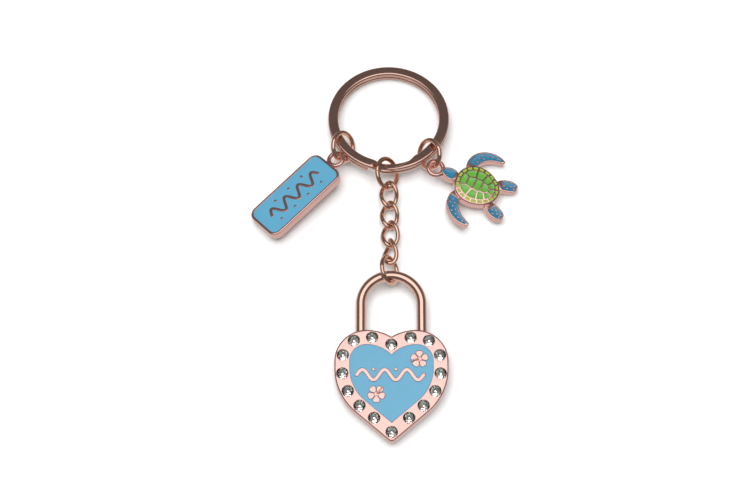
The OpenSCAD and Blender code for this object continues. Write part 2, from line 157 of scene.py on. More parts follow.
def shaped(name, corners, faces, material, smooth=True):
    mesh = bpy.data.meshes.new(name)
    mesh.from_pydata([tuple(c) for c in corners], [], faces)
    mesh.materials.append(material)
    tidy = bmesh.new()
    tidy.from_mesh(mesh)
    bmesh.ops.recalc_face_normals(tidy, faces=tidy.faces)
    tidy.to_mesh(mesh)
    tidy.free()
    mesh.polygons.foreach_set("use_smooth", [smooth] * len(mesh.polygons))
    return mesh


def ground_bore(angle, end_angle, toward):
    """The wire's inner radius at an angle, where the end of the turn is ground thin."""
    away = (angle - end_angle) * toward
    if not 0 <= away <= GRIND_SWEEP:
        return RING_BORE
    cutter = math.radians(angle - (STEP_ANGLE + 3.5 * toward))
    reach = GRIND_OFFSET * math.cos(cutter)
    cut = reach + math.sqrt(GRIND_RADIUS ** 2 - (GRIND_OFFSET * math.sin(cutter)) ** 2)
    return max(RING_BORE, min(cut, RING_OUTER - 0.5))


def wire_section(width, thick, edge):
    corners = []
    for quarter, (sx, sz) in enumerate([(1, 1), (-1, 1), (-1, -1), (1, -1)]):
        for step in range(6):
            x, z = polar(edge, quarter * 90 + step * 18)
            corners.append((sx * (width / 2 - edge) + x, sz * (thick / 2 - edge) + z))
    return corners


strip_ends = 360 - 2 * STEP_HALF - END_GAP
strip = []
for station in np.linspace(0, 1, 150):
    strip.append((STEP_ANGLE + STEP_HALF + strip_ends * (1 - station), -1, -1))
for station in np.linspace(0, 1, 18)[1:-1]:
    ease = station * station * (3 - 2 * station)
    strip.append((STEP_ANGLE + STEP_HALF - 2 * STEP_HALF * station, -1 + 2 * ease, 0))
for station in np.linspace(0, 1, 150):
    strip.append((STEP_ANGLE - STEP_HALF - strip_ends * station, 1, 1))
ring_corners, ring_faces = [], []
to_ring = turn("X", -RING_SLANT)
for angle, level, side in strip:
    circle = angle % 360
    bore = RING_BORE if side == 0 else ground_bore(circle, STEP_ANGLE, side)
    width = RING_OUTER - bore
    edge = min(WIRE_EDGE, 0.42 * width)
    for across, up in wire_section(width, TURN_THICK, edge):
        x, y = polar(RING_OUTER - width / 2 + across, angle)
        ring_corners.append((to_ring @ [x, y, level * TURN_STEP + up] + RING_MIDDLE + TABLE_MIDDLE) * MM)
for station in range(len(strip) - 1):
    here, there = SECTION_CORNERS * station, SECTION_CORNERS * (station + 1)
    for k in range(SECTION_CORNERS):
        m = (k + 1) % SECTION_CORNERS
        ring_faces.append((here + k, here + m, there + m, there + k))
ring_faces += [tuple(range(SECTION_CORNERS)),
               tuple(range(len(ring_corners) - SECTION_CORNERS, len(ring_corners)))]
finished("split_ring_strip", shaped("split_ring_strip", ring_corners, ring_faces, rolled_gold),
         "split_ring", ["split_ring"])

# Jump rings
# The two small rings that carry the tag and the turtle: round wire bent to a circle, its sawn ends
# pushed together. Each hangs on the split ring, leaning on it, and is plated like the rest.
CHARM_RING_RADIUS, CHARM_WIRE = 3.5, 1.2
TAG_RING_AT, TURTLE_RING_AT, CHAIN_AT = 215, 316, 268.3
drawn_gold = rose_gold("drawn_rose_gold", (0.90, 0.60, 0.48, 1), (0.78, 0.46, 0.35, 1), 0.06)


def plumb(tree, kind, settings=None, **links):
    node = tree.nodes.new(kind)
    for name, value in (settings or {}).items():
        setattr(node, name, value)
    for name, given in links.items():
        socket = node.inputs[name.replace("_", " ")]
        if isinstance(given, bpy.types.NodeSocket):
            tree.links.new(given, socket)
        else:
            socket.default_value = given
    return node


def new_tree(name, inputs):
    tree = bpy.data.node_groups.new(name, "GeometryNodeTree")
    tree.interface.new_socket("Geometry", in_out="INPUT", socket_type="NodeSocketGeometry")
    for socket, kind in inputs:
        tree.interface.new_socket(socket, in_out="INPUT", socket_type=kind)
    tree.interface.new_socket("Geometry", in_out="OUTPUT", socket_type="NodeSocketGeometry")
    return tree, tree.nodes.new("NodeGroupInput").outputs


def end_tree(tree, geometry, smooth, material):
    shade = plumb(tree, "GeometryNodeSetShadeSmooth", Geometry=geometry, Shade_Smooth=smooth)
    real = plumb(tree, "GeometryNodeRealizeInstances", Geometry=shade.outputs[0])
    dressed = plumb(tree, "GeometryNodeSetMaterial", Geometry=real.outputs[0], Material=material)
    plumb(tree, "NodeGroupOutput", Geometry=dressed.outputs[0])
    return tree


bent_wire, given = new_tree("wire bent along a path", [
    ("Wire radius", "NodeSocketFloat"), ("Sides", "NodeSocketInt"), ("Metal", "NodeSocketMaterial")])
path = plumb(bent_wire, "GeometryNodeMeshToCurve", Mesh=given["Geometry"])
section = plumb(bent_wire, "GeometryNodeCurvePrimitiveCircle", Resolution=given["Sides"],
                Radius=given["Wire radius"])
swept = plumb(bent_wire, "GeometryNodeCurveToMesh", Curve=path.outputs[0], Profile_Curve=section.outputs[0],
              Fill_Caps=True)
end_tree(bent_wire, swept.outputs[0], True, given["Metal"])


def grown(name, corners, edges, tree, inputs, turns=None):
    """Runs a tree on a few corners and edges, and gives the plain mesh that comes out."""
    seed = bpy.data.meshes.new(name)
    seed.from_pydata([tuple(c) for c in corners], edges, [])
    if turns is not None:
        seed.attributes.new("turn", "FLOAT", "POINT").data.foreach_set("value", turns)
    grower = bpy.data.objects.new(name, seed)
    bpy.context.scene.collection.objects.link(grower)
    modifier = grower.modifiers.new("grow", "NODES")
    modifier.node_group = tree
    for item in tree.interface.items_tree:
        if item.in_out == "INPUT" and item.name in inputs:
            modifier[item.identifier] = inputs[item.name]
    mesh = bpy.data.meshes.new_from_object(grower.evaluated_get(bpy.context.evaluated_depsgraph_get()))
    grower.modifiers.remove(modifier)
    bpy.data.objects.remove(grower)
    mesh.name = name
    return mesh


def wire(name, points, radius, metal, closed=False, sides=28):
    """Round wire along points given in millimetres, with flat ends unless it closes on itself."""
    edges = [(i, i + 1) for i in range(len(points) - 1)]
    if closed:
        edges.append((len(points) - 1, 0))
    return grown(name, [np.array(p) * MM for p in points], edges, bent_wire,
                 {"Wire radius": radius * MM, "Sides": sides, "Metal": metal})


def jump_ring(name, middle, facing, radius, thick, body):
    """A ring of round wire with its sawn ends a hair apart, at the far side of its own frame."""
    points = []
    for angle in np.linspace(91, 449, 110):
        x, y = polar(radius, angle)
        points.append(facing @ [x, y, 0] + middle + TABLE_MIDDLE)
    finished(name, wire(name, points, thick / 2, drawn_gold), body, [body])


def on_band(angle):
    """The middle of the split ring's section at an angle round it."""
    x, y = polar(RING_OUTER - BAND_HALF_WIDE, angle)
    return RING_MIDDLE + to_ring @ [x, y, 0]


jump_ring("tag_ring", on_band(TAG_RING_AT) + [0.01, 0.01, 0.06], turn("Z", 71.33) @ turn("X", 51.06),
          CHARM_RING_RADIUS, CHARM_WIRE, "tag_jump_ring")
jump_ring("turtle_ring", on_band(TURTLE_RING_AT) + [0.16, -0.47, 0.12], turn("Z", -68.12) @ turn("X", 52.99),
          CHARM_RING_RADIUS, CHARM_WIRE, "turtle_jump_ring")

# Tag
# A die-cast zinc tag with a loop at one end, plated rose gold. Its face is sunk inside a thin rim,
# and a raised rolling wave with dots stands in the middle of it, rooted a little under the sunk floor.
TAG_LONG, TAG_WIDE, TAG_THICK = 23.0, 10.0, 2.4
TAG_CORNER, TAG_RIM, TAG_SUNK = 2.2, 0.6, 0.5
TAG_LOOP_RADIUS, TAG_LOOP_WIRE, TAG_LOOP_OUT = 1.75, 1.1, 2.1
TAG_DOT, TAG_DOT_APART, TAG_DOT_Y = 0.36, 2.214, 2.45
ROOT = 0.05
tag_facing = turn("Z", 44.55) @ turn("Y", -3.68) @ turn("X", -11.87)
tag_middle = np.array([-21.44, 14.51, 2.82])
cast_gold = rose_gold("cast_rose_gold", BRIGHT_GOLD, DEEP_GOLD, 0.13)


def unit(v):
    return v / np.linalg.norm(v)


def inset(outline, depth):
    """A closed outline moved in by depth, its corners mitred."""
    here = np.array(outline, float)
    before, after = here - np.roll(here, 1, 0), np.roll(here, -1, 0) - here
    before /= np.linalg.norm(before, axis=1)[:, None]
    after /= np.linalg.norm(after, axis=1)[:, None]
    normal = np.stack([-before[:, 1], before[:, 0]], 1)
    middle = normal + np.stack([-after[:, 1], after[:, 0]], 1)
    middle /= np.linalg.norm(middle, axis=1)[:, None]
    reach = np.maximum((middle * normal).sum(1), 0.4)
    return here + depth * middle / reach[:, None]


class Casting:
    """A plate in its own flat frame, in millimetres: walls with rounded edges, pockets and raised lines."""

    def __init__(self):
        self.mesh = bmesh.new()

    def walls(self, outline, profile):
        """Rings of the outline moved in by each inset at each height, joined up. Gives the first and last."""
        rings = []
        for depth, height in profile:
            rings.append([self.mesh.verts.new((x, y, height)) for x, y in inset(outline, depth)])
        for low, high in zip(rings, rings[1:]):
            for i in range(len(low)):
                j = (i + 1) % len(low)
                self.mesh.faces.new((low[i], low[j], high[j], high[i]))
        return rings[0], rings[-1]

    def close(self, *rings, down=False):
        """A flat face inside the first ring and outside the others, facing up or down."""
        corners = [vert for ring in rings for vert in ring]
        loops, first = [], 0
        for ring in rings:
            loops.append(list(range(first, first + len(ring))))
            first += len(ring)
        flat = [Vector((vert.co.x, vert.co.y)) for vert in corners]
        places, _, faces, from_corner, _, from_loop = delaunay_2d_cdt(flat, [], loops, 1, 1e-6)
        height = corners[0].co.z
        met = [corners[given[0]] if given else self.mesh.verts.new((place.x, place.y, height))
               for place, given in zip(places, from_corner)]
        for face, inside in zip(faces, from_loop):
            if inside == [0]:
                self.mesh.faces.new([met[k] for k in (face[::-1] if down else face)])

    def slab(self, outline, low, high, edge, pockets=()):
        """A solid between two heights. Each pocket is an outline, its depth and its edge radius."""
        steps = np.linspace(0, math.pi / 2, 5)
        profile = [(edge * (1 - math.sin(a)), low + edge * (1 - math.cos(a))) for a in steps]
        profile += [(edge * (1 - math.cos(a)), high - edge * (1 - math.sin(a))) for a in steps]
        foot, top = self.walls(outline, profile)
        self.close(foot, down=True)
        rims = [top]
        for hole, depth, lip in pockets:
            profile = [(-lip * (1 - math.sin(a)), high - lip * (1 - math.cos(a))) for a in steps]
            rim, floor = self.walls(hole, profile + [(0.0, high - depth)])
            self.close(floor)
            rims.append(rim)
        self.close(*rims)
        return self

    def fill(self, outline, low, high, creep):
        """Enamel: it creeps up the wall and sags a little inside, as it does when it is fired or cures."""
        foot, top = self.walls(outline, [(0.0, low), (0.0, high), (creep * 0.35, high - 0.025),
                                         (creep, high - 0.06)])
        self.close(foot, down=True)
        self.close(top)
        return self

    def done(self, name, facing, middle, material, corner_angle=35):
        for edge in self.mesh.edges:
            edge.smooth = len(edge.link_faces) < 2 or edge.calc_face_angle(0.0) < math.radians(corner_angle)
        for face in self.mesh.faces:
            face.smooth = True
        for vert in self.mesh.verts:
            vert.co = (facing @ np.array(vert.co) + middle + TABLE_MIDDLE) * MM
        mesh = bpy.data.meshes.new(name)
        self.mesh.to_mesh(mesh)
        self.mesh.free()
        mesh.materials.append(material)
        return mesh


def joined(name, *meshes):
    whole = bmesh.new()
    for mesh in meshes:
        whole.from_mesh(mesh)
    mesh = bpy.data.meshes.new(name)
    whole.to_mesh(mesh)
    whole.free()
    mesh.materials.append(meshes[0].materials[0])
    return mesh


def loop(radius, thick, facing, middle, metal, at):
    points = []
    for angle in np.linspace(0, 360, 73)[:-1]:
        x, y = polar(radius, angle)
        points.append(facing @ ([x, y, 0] + np.array(at)) + middle + TABLE_MIDDLE)
    return wire("loop", points, thick / 2, metal, closed=True)


def round_corners(long, wide, corner):
    outline = []
    for quarter, (sx, sy) in enumerate([(1, 1), (-1, 1), (-1, -1), (1, -1)]):
        for step in range(10):
            outline.append(polar(corner, quarter * 90 + step * 10)
                           + [sx * (long / 2 - corner), sy * (wide / 2 - corner)])
    return outline


def rolling_wave(long, high, waves, thick, steps):
    """The outline of a wavy line with round ends. Points that fall inside a tight bend are left out."""
    def middle(s):
        return np.array([long * (s - 0.5), high * math.sin(2 * math.pi * waves * s)])
    line = np.array([middle(s) for s in np.linspace(0, 1, steps)])
    outline = []
    for way, stations in ((-1, np.linspace(0, 1, steps)), (1, np.linspace(1, 0, steps))):
        for s in stations:
            ahead = unit(middle(s + 0.002) - middle(s - 0.002))
            side = middle(s) + way * thick / 2 * np.array([-ahead[1], ahead[0]])
            if np.linalg.norm(line - side, axis=1).min() > 0.985 * thick / 2:
                outline.append(side)
        end = unit(middle(stations[-1] + 0.002) - middle(stations[-1] - 0.002)) * -way
        for turned in (45, 90, 135):
            a = math.radians(turned)
            outline.append(line[0 if way == 1 else -1] + thick / 2 * (
                math.cos(a) * np.array([end[1], -end[0]]) + math.sin(a) * end))
    return outline


def dot(x, y, radius, steps=20):
    return [polar(radius, 360 * k / steps) + [x, y] for k in range(steps)]


tag_face = round_corners(TAG_LONG - 2 * TAG_RIM, TAG_WIDE - 2 * TAG_RIM, TAG_CORNER - TAG_RIM)
plate = Casting().slab(round_corners(TAG_LONG, TAG_WIDE, TAG_CORNER), -TAG_THICK / 2, TAG_THICK / 2, 0.28,
                       [(tag_face, TAG_SUNK, 0.1)])
line_low, line_high = TAG_THICK / 2 - TAG_SUNK - ROOT, TAG_THICK / 2 - 0.02
plate.slab(rolling_wave(15.5, 1.5, 3.5, 0.75, 90), line_low, line_high, 0.12)
for k in range(-3, 4):
    plate.slab(dot(TAG_DOT_APART * k, TAG_DOT_Y if k % 2 == 0 else -TAG_DOT_Y, TAG_DOT), line_low, line_high,
               0.14)
finished("tag_cast", joined("tag_cast", plate.done("tag_cast", tag_facing, tag_middle, cast_gold),
                            loop(TAG_LOOP_RADIUS, TAG_LOOP_WIRE, tag_facing, tag_middle, cast_gold,
                                 (TAG_LONG / 2 + TAG_LOOP_OUT, 0, 0))), "tag", ["tag_plate"])

# Tag enamel
# Soft light-blue enamel poured into the tag's sunk face and baked. It stands a little below the rim
# and creeps up along every metal edge.
POOL_GAP = 0.01


def enamel(name, colour, deeper):
    """Baked enamel: glossy, with a faint cloud of pigment and the fine ripple of a poured skin."""
    paint = Finish(name, {"Roughness": 0.16, "Coat Roughness": 0.03, "Coat Weight": 0.35, "IOR": 1.5})
    pigment = paint.grain((1, 1, 1), 420.0, 3.0)
    ripple = paint.grain((1, 1, 1), 240.0)
    paint.wear("Base Color", paint.blend(pigment, deeper, colour))
    paint.wear("Roughness", 0.12 + 0.10 * ripple)
    paint.bump(ripple, 0.00002)
    return paint.material


light_blue = enamel("light_blue_enamel", (0.100, 0.335, 0.500, 1), (0.085, 0.305, 0.470, 1))
tag_fill = Casting().fill(inset(tag_face, POOL_GAP), TAG_THICK / 2 - TAG_SUNK, TAG_THICK / 2 - 0.07, 0.4)
finished("tag_fill", tag_fill.done("tag_fill", tag_facing, tag_middle, light_blue),
         "tag", ["tag_enamel"])

# Turtle
# A die-cast sea turtle seen from above, plated rose gold, with a loop in front of its nose. Thin
# walls divide its shell into cells, and small raised dots stand on its flippers.
SHELL_LONG, SHELL_WIDE, SHELL_THICK = 5.7, 5.1, 2.5
LIMB_THICK, HEAD_THICK, CELL_DEEP, CELL_WALL = 1.9, 2.2, 0.4, 0.34
RIM_OUT, RIM_IN, RIM_CELLS = 0.45, 1.05, 20
DOME, HEAD_START = 0.55, 6.15
POOL_END, POOL_RIM = 0.93, 0.40
SCALE_LONG, SCALE_WIDE, SCALE_INSET = 0.34, 0.2, 0.95
EYE, EYE_X, EYE_Y = 0.2, 0.62, 8.0
RIM_WALL_ANGLE = 2.4
turtle_facing = turn("Y", 7.16) @ turn("X", -0.87) @ turn("Z", 64.1)
turtle_middle = np.array([22.51, 16.87, 1.35])
SCUTES = [(0, 3.7), (0, 1.8), (0, 0), (0, -1.8), (0, -3.9)]
SCUTES += [(side * x, y) for side in (-1, 1) for x, y in ((2.5, 2.6), (3, 0.1), (2.5, -1.9), (1.5, -3.3))]


def egg(depth, steps=96, start=0, sweep=360):
    """The shell's outline, broader towards the head, moved in by depth."""
    outline = []
    for k in range(steps):
        a = math.radians(start + sweep * k / steps)
        outline.append(np.array([(SHELL_WIDE - depth) * math.cos(a) * (1 + 0.1 * math.sin(a)),
                                 (SHELL_LONG - depth) * math.sin(a)]))
    return outline


def spaced(outline, least=0.16):
    """The outline without the points that crowd the one before, so that it can be moved in cleanly."""
    kept = []
    for point in outline:
        if not kept or np.linalg.norm(point - kept[-1]) > least:
            kept.append(point)
    if np.linalg.norm(kept[-1] - kept[0]) < least:
        kept.pop()
    return kept


def nearer(outline, point, normal):
    """The part of a convex outline on the near side of a line."""
    kept = []
    for k, here in enumerate(outline):
        there = outline[(k + 1) % len(outline)]
        one, two = (here - point) @ normal, (there - point) @ normal
        if one <= 0:
            kept.append(here)
        if one * two < 0:
            kept.append(here + (there - here) * one / (one - two))
    return kept


def scute(number):
    """One shell cell: all of the shell that is nearer to its middle than to any other's, less the wall."""
    outline = egg(RIM_IN + CELL_WALL, 64)
    here = np.array(SCUTES[number], float)
    for other, there in enumerate(SCUTES):
        if other != number:
            way = unit(np.array(there, float) - here)
            outline = nearer(outline, (here + there) / 2 - way * CELL_WALL / 2, way)
    return spaced(outline)


def rim_cell(number):
    step = 360 / RIM_CELLS
    start, sweep = number * step + RIM_WALL_ANGLE, step - 2 * RIM_WALL_ANGLE
    outer = egg(RIM_OUT, 6, start, sweep * 6 / 5)
    inner = egg(RIM_IN, 6, start, sweep * 6 / 5)
    return outer + inner[::-1]


def limb_point(limb, s):
    x, y, heading, long, bend = limb[:5]
    way = math.radians(heading + bend * s / 2)
    return np.array([x + long * math.cos(way) * s, y + long * math.sin(way) * s])


def flipper(limb, start, end, less, steps=30):
    """A limb's outline: it swells from the root and comes to a blunt tip along a curved middle line."""
    half, tip, root = limb[5:]
    sides = [[], []]
    for s in np.linspace(start, end, steps):
        along = unit(limb_point(limb, min(s + 0.01, 1)) - limb_point(limb, max(s - 0.01, 0)))
        wide = max(0.03, half * s ** root * (1 - s) ** tip - less)
        for side, way in enumerate((-1, 1)):
            sides[side].append(limb_point(limb, s) + way * wide * np.array([-along[1], along[0]]))
    return spaced(sides[0] + sides[1][::-1])


LIMBS = {"front_left": (-3.1, 3.0, 140, 9.0, 156, 2.63, 0.5, 0.35),
         "front_right": (3.1, 2.8, 40, 8.9, -172, 2.63, 0.5, 0.35),
         "rear_left": (-2.2, -3.6, 228, 5.9, 40, 2.89, 0.38, 0.5),
         "rear_right": (2.2, -3.6, -48, 5.9, -40, 2.89, 0.38, 0.5)}


def outside_shell(limb):
    """How far along a limb its enamel starts, just clear of the shell."""
    for s in np.linspace(0.05, 0.6, 56):
        x, y = limb_point(limb, s)
        if math.hypot(x / (SHELL_WIDE + 0.85), y / (SHELL_LONG + 0.85)) > 1:
            return s
    return 0.3


def flipper_pool(limb):
    """The sunk part of a flipper: it starts clear of the shell and stops short of the tip."""
    return flipper(limb, outside_shell(limb), POOL_END, POOL_RIM)


def head_outline(less, low=0):
    """The head, moved in by less and cut off square below low."""
    outline = []
    for k in range(40):
        a = math.radians(k * 9)
        outline.append(np.array([(1.6 - less) * math.cos(a) * (1 - 0.12 * math.sin(a)),
                                 max(7.35 + (2.2 - less) * math.sin(a), low)]))
    return spaced(outline)


def domed(mesh):
    """Raises the middle of the shell, its cells and its enamel alike."""
    for vert in mesh.verts:
        bulge = 1 - (vert.co.x / SHELL_WIDE) ** 2 - (vert.co.y / SHELL_LONG) ** 2
        if vert.co.z > 1.0 and bulge > 0:
            vert.co.z += DOME * bulge
    return mesh


shell = Casting().slab(egg(0), 0.0, SHELL_THICK, 0.3,
                       [(scute(k), CELL_DEEP, 0.06) for k in range(len(SCUTES))]
                       + [(rim_cell(k), CELL_DEEP, 0.05) for k in range(RIM_CELLS)])
domed(shell.mesh)
body_parts = [shell.done("shell", turtle_facing, turtle_middle, cast_gold)]
limbs_cast = Casting()
for limb in LIMBS.values():
    limbs_cast.slab(flipper(limb, 0.03, 0.985, 0.0), 0.0, LIMB_THICK, 0.2,
                    [(flipper_pool(limb), CELL_DEEP, 0.06)])
    start = outside_shell(limb) + 0.07
    for row, s in enumerate(np.linspace(start, 0.86, 7 if limb[3] > 7 else 4)):
        centre = limb_point(limb, s)
        ahead = unit(limb_point(limb, s + 0.02) - centre)
        across = np.array([-ahead[1], ahead[0]])
        spread = limb[5] * s ** limb[7] * (1 - s) ** limb[6] - SCALE_INSET
        for side in ((-1, 1) if row % 2 and spread > 0.3 else (0,)):
            scale = [centre + side * spread * across + SCALE_LONG * math.cos(a) * ahead
                     + SCALE_WIDE * math.sin(a) * across for a in np.linspace(0, 2 * math.pi, 13)[:-1]]
            limbs_cast.slab(scale, LIMB_THICK - CELL_DEEP - ROOT, LIMB_THICK + 0.03, 0.08)
head_pool = head_outline(POOL_RIM, HEAD_START)
limbs_cast.slab(head_outline(0), 0.0, HEAD_THICK, 0.25, [(head_pool, CELL_DEEP, 0.08)])
for side in (-1, 1):
    limbs_cast.slab(dot(EYE_X * side, EYE_Y, EYE, 14), HEAD_THICK - CELL_DEEP - ROOT, HEAD_THICK + 0.03, 0.09)
body_parts.append(limbs_cast.done("limbs", turtle_facing, turtle_middle, cast_gold))
body_parts.append(loop(1.85, 1.2, turtle_facing, turtle_middle, cast_gold, (0, 11.12, 1.04)))
finished("turtle_cast", joined("turtle_cast", *body_parts), "turtle", ["turtle_casting"])

# Turtle enamel
# Four colours of baked enamel in the casting's cells: sea blue on the flippers and the head, leaf
# green on the shell and yellow-green round its rim.
sea_blue = enamel("sea_blue_enamel", (0.018, 0.205, 0.345, 1), (0.012, 0.145, 0.270, 1))
leaf_green = enamel("leaf_green_enamel", (0.135, 0.400, 0.052, 1), (0.095, 0.320, 0.035, 1))
lime_green = enamel("lime_green_enamel", (0.330, 0.455, 0.030, 1), (0.250, 0.390, 0.022, 1))
for side, limb in LIMBS.items():
    pool = Casting().fill(inset(flipper_pool(limb), POOL_GAP), LIMB_THICK - CELL_DEEP, LIMB_THICK - 0.06,
                          0.12)
    finished(f"{side}_flipper_fill", pool.done(side, turtle_facing, turtle_middle, sea_blue), "turtle",
             [f"{side}_flipper_enamel"])
pool = Casting().fill(inset(head_pool, POOL_GAP), HEAD_THICK - CELL_DEEP, HEAD_THICK - 0.06, 0.12)
finished("head_fill", pool.done("head_fill", turtle_facing, turtle_middle, sea_blue), "turtle",
         ["turtle_head_enamel"])
for name, cells, colour, node, slot in (
        ("shell_fill", [scute(k) for k in range(len(SCUTES))], leaf_green,
         "turtle_scute_enamel", "leaf_green"),
        ("rim_fill", [rim_cell(k) for k in range(RIM_CELLS)], lime_green,
         "turtle_rim_enamel", "lime_green")):
    pools = Casting()
    for cell in cells:
        pools.fill(inset(cell, 0.008), SHELL_THICK - CELL_DEEP, SHELL_THICK - 0.05, 0.1)
    domed(pools.mesh)
    finished(name, pools.done(name, turtle_facing, turtle_middle, colour), "turtle", [node])

# Chain
# Four links of curb chain between two jump rings. Each link is round wire soldered into an oval and
# twisted, so that the links lie flat in each other.
TOP_RING_RADIUS, TOP_WIRE, LOW_RING_RADIUS, LOW_WIRE = 3.675, 1.15, 3.25, 1.1
LINK_LONG, LINK_WIDE, LINK_WIRE, LINK_TWIST = 3.19, 1.88, 1.1, 42.3
TOP_FOLD, TOP_LEAN, LOW_FOLD, LOW_LEAN, LOW_X = 11.75, 49.1, 3.99, 55.7, 1.31
LINK_X, LINK_ROLL = (1.234, 1.36, 1.524, 1.462), (-0.85, 7.92, 15.8, 45.6)
LINK_Z = (2.752, 2.051, 1.587, 1.904, 3.018)
LINK_HOOK = (1.44, 1.32, 1.335, 1.42, 1.365)
band_corner = math.hypot(BAND_HALF_WIDE - WIRE_EDGE, BAND_HALF_HIGH - WIRE_EDGE) + WIRE_EDGE
top_hang = TOP_RING_RADIUS - (band_corner + 0.05 + TOP_WIRE / 2)
folded = turn("X", TOP_FOLD)
pivot = on_band(CHAIN_AT)
jump_ring("chain_top", pivot + folded @ [0, -top_hang, 0], folded @ turn("Z", 90) @ turn("X", TOP_LEAN),
          TOP_RING_RADIUS, TOP_WIRE, "chain_top_ring")
hook = pivot + folded @ [0, -top_hang - TOP_RING_RADIUS, 0]
for link in range(4):
    slope = turn("X", math.degrees(math.asin((LINK_Z[link] - LINK_Z[link + 1]) / (2 * LINK_LONG))))
    upper = np.array([LINK_X[link], hook[1] + LINK_HOOK[link], LINK_Z[link]])
    middle = upper + slope @ [0, -LINK_LONG, 0]
    facing = slope @ turn("Y", -LINK_ROLL[link])
    oval = []
    for t in np.linspace(0, 2 * math.pi, 97)[:-1]:
        twist = math.radians(LINK_TWIST * math.sin(t))
        oval.append(facing @ [LINK_WIDE * math.cos(t) * math.cos(twist), LINK_LONG * math.sin(t),
                              LINK_WIDE * math.cos(t) * math.sin(twist)] + middle + TABLE_MIDDLE)
    node = f"curb_link_{link + 1}"
    finished(f"link_{link + 1}", wire(node, oval, LINK_WIRE / 2, drawn_gold, closed=True, sides=24), node,
             [node])
    hook = upper + slope @ [0, -2 * LINK_LONG, 0]
low_end = hook + [0, LINK_HOOK[4], 0]
low_end[0] = LOW_X
folded = turn("X", -LOW_FOLD)
jump_ring("chain_bottom", low_end + folded @ [0, -LOW_RING_RADIUS, 0],
          folded @ turn("Z", 90) @ turn("X", LOW_LEAN), LOW_RING_RADIUS, LOW_WIRE, "chain_bottom_ring")

# Shackle
# The padlock's bow: one round bar bent over, polished, its two ends turned down and pressed into
# blind holes in the top of the heart. It doesn't open.
BAR, LEG_GAP, ARCH_Y, HEART_THICK, TILT = 2.4, 14.4, 14.3, 3.2, 2.4
BAR_X, LEG_FOOT = 1.67, 6.2
bar_reach = BAR / 2 + LOW_WIRE / 2 + 0.08
bar_top = low_end + folded @ [0, bar_reach - 2 * LOW_RING_RADIUS, 0]
bar_top[0] = BAR_X
padlock_facing = turn("X", TILT)
padlock_middle = bar_top + padlock_facing @ [0, -ARCH_Y - LEG_GAP / 2, -HEART_THICK / 2]


def on_padlock(x, y, z):
    return padlock_facing @ [x, y, z] + padlock_middle + TABLE_MIDDLE


bow = [on_padlock(LEG_GAP / 2, y, HEART_THICK / 2) for y in np.linspace(LEG_FOOT, ARCH_Y - 0.4, 10)]
for angle in np.linspace(0, 180, 72):
    x, y = polar(LEG_GAP / 2, angle)
    bow.append(on_padlock(x, ARCH_Y + y, HEART_THICK / 2))
bow += [on_padlock(-LEG_GAP / 2, y, HEART_THICK / 2) for y in np.linspace(ARCH_Y - 0.4, LEG_FOOT, 10)]
bar_gold = rose_gold("bar_rose_gold", (0.90, 0.60, 0.50, 1), (0.80, 0.48, 0.39, 1), 0.05)
finished("shackle_bow", wire("shackle_bow", bow, BAR / 2, bar_gold, sides=48), "padlock", ["shackle"])

# Heart
# The body of the padlock charm: a die-cast heart, plated rose gold and polished, with round seats for
# stones along its border and a sunk field that holds raised flowers and a rolling wave.
HALF_WIDE, LOBE_X, CLEFT_RADIUS = 13.4, 5.8, 11.0
SIDE_RADIUS, SIDE_Y, SIDE_END, TIP_RADIUS = 14.0, -1.7, 49.5, 1.2
FIELD_IN, FIELD_LOBE, FIELD_CLEFT, FIELD_TOP, FIELD_DEEP = 3.6, 3.9, 8.2, 3.95, 0.6
STONE_RADIUS, SEAT_DEEP, SEAT_IN, LOW_SEAT_X, CLEFT_SEAT_Y = 1.375, 0.9, 1.85, 4.05, 3.95
lobe = HALF_WIDE - LOBE_X
side_middle = np.array([HALF_WIDE - SIDE_RADIUS, SIDE_Y])
flank = math.radians(SIDE_END)


def arc(middle, radius, start, end, steps):
    return [np.array(middle) + polar(radius, a) for a in np.linspace(start, end, steps + 1)]


def tip_y(depth):
    """Where the two flanks, moved in by depth, would meet."""
    radius = SIDE_RADIUS - depth
    return SIDE_Y - radius * math.sin(flank) - (side_middle[0] + radius * math.cos(flank)) / math.tan(flank)


def both_sides(half):
    """The right half from the cleft down to the tip, and its mirror image, in one turn."""
    other = [np.array([-x, y]) for x, y in half[1:-1]][::-1]
    return (half + other)[::-1]


heart_half = arc((LOBE_X, lobe - CLEFT_RADIUS), CLEFT_RADIUS,
                 math.degrees(math.acos(-LOBE_X / CLEFT_RADIUS)), 90, 14)
heart_half += arc((LOBE_X, 0), lobe, 84, 0, 20) + arc(side_middle, SIDE_RADIUS, -2, -SIDE_END, 22)
heart_half += arc((0, tip_y(0) + TIP_RADIUS / math.sin(flank)), TIP_RADIUS, -SIDE_END - 6, -90, 6)
heart_outline = both_sides(heart_half)

field_x, field_y = HALF_WIDE - FIELD_IN - FIELD_LOBE, FIELD_TOP - FIELD_LOBE
field_half = arc((field_x, FIELD_TOP - FIELD_CLEFT), FIELD_CLEFT,
                 math.degrees(math.acos(-field_x / FIELD_CLEFT)), 90, 12)
field_half += arc((field_x, field_y), FIELD_LOBE, 84, 0, 16)
field_half += arc(side_middle, SIDE_RADIUS - FIELD_IN, -2, -SIDE_END, 18) + [np.array([0, tip_y(FIELD_IN)])]
field_outline = both_sides(field_half)


def along(line, distance):
    """The point at a distance along a line of points."""
    for one, two in zip(line, line[1:]):
        step = np.linalg.norm(two - one)
        if distance <= step:
            return one + (two - one) * distance / step
        distance -= step
    return line[-1]


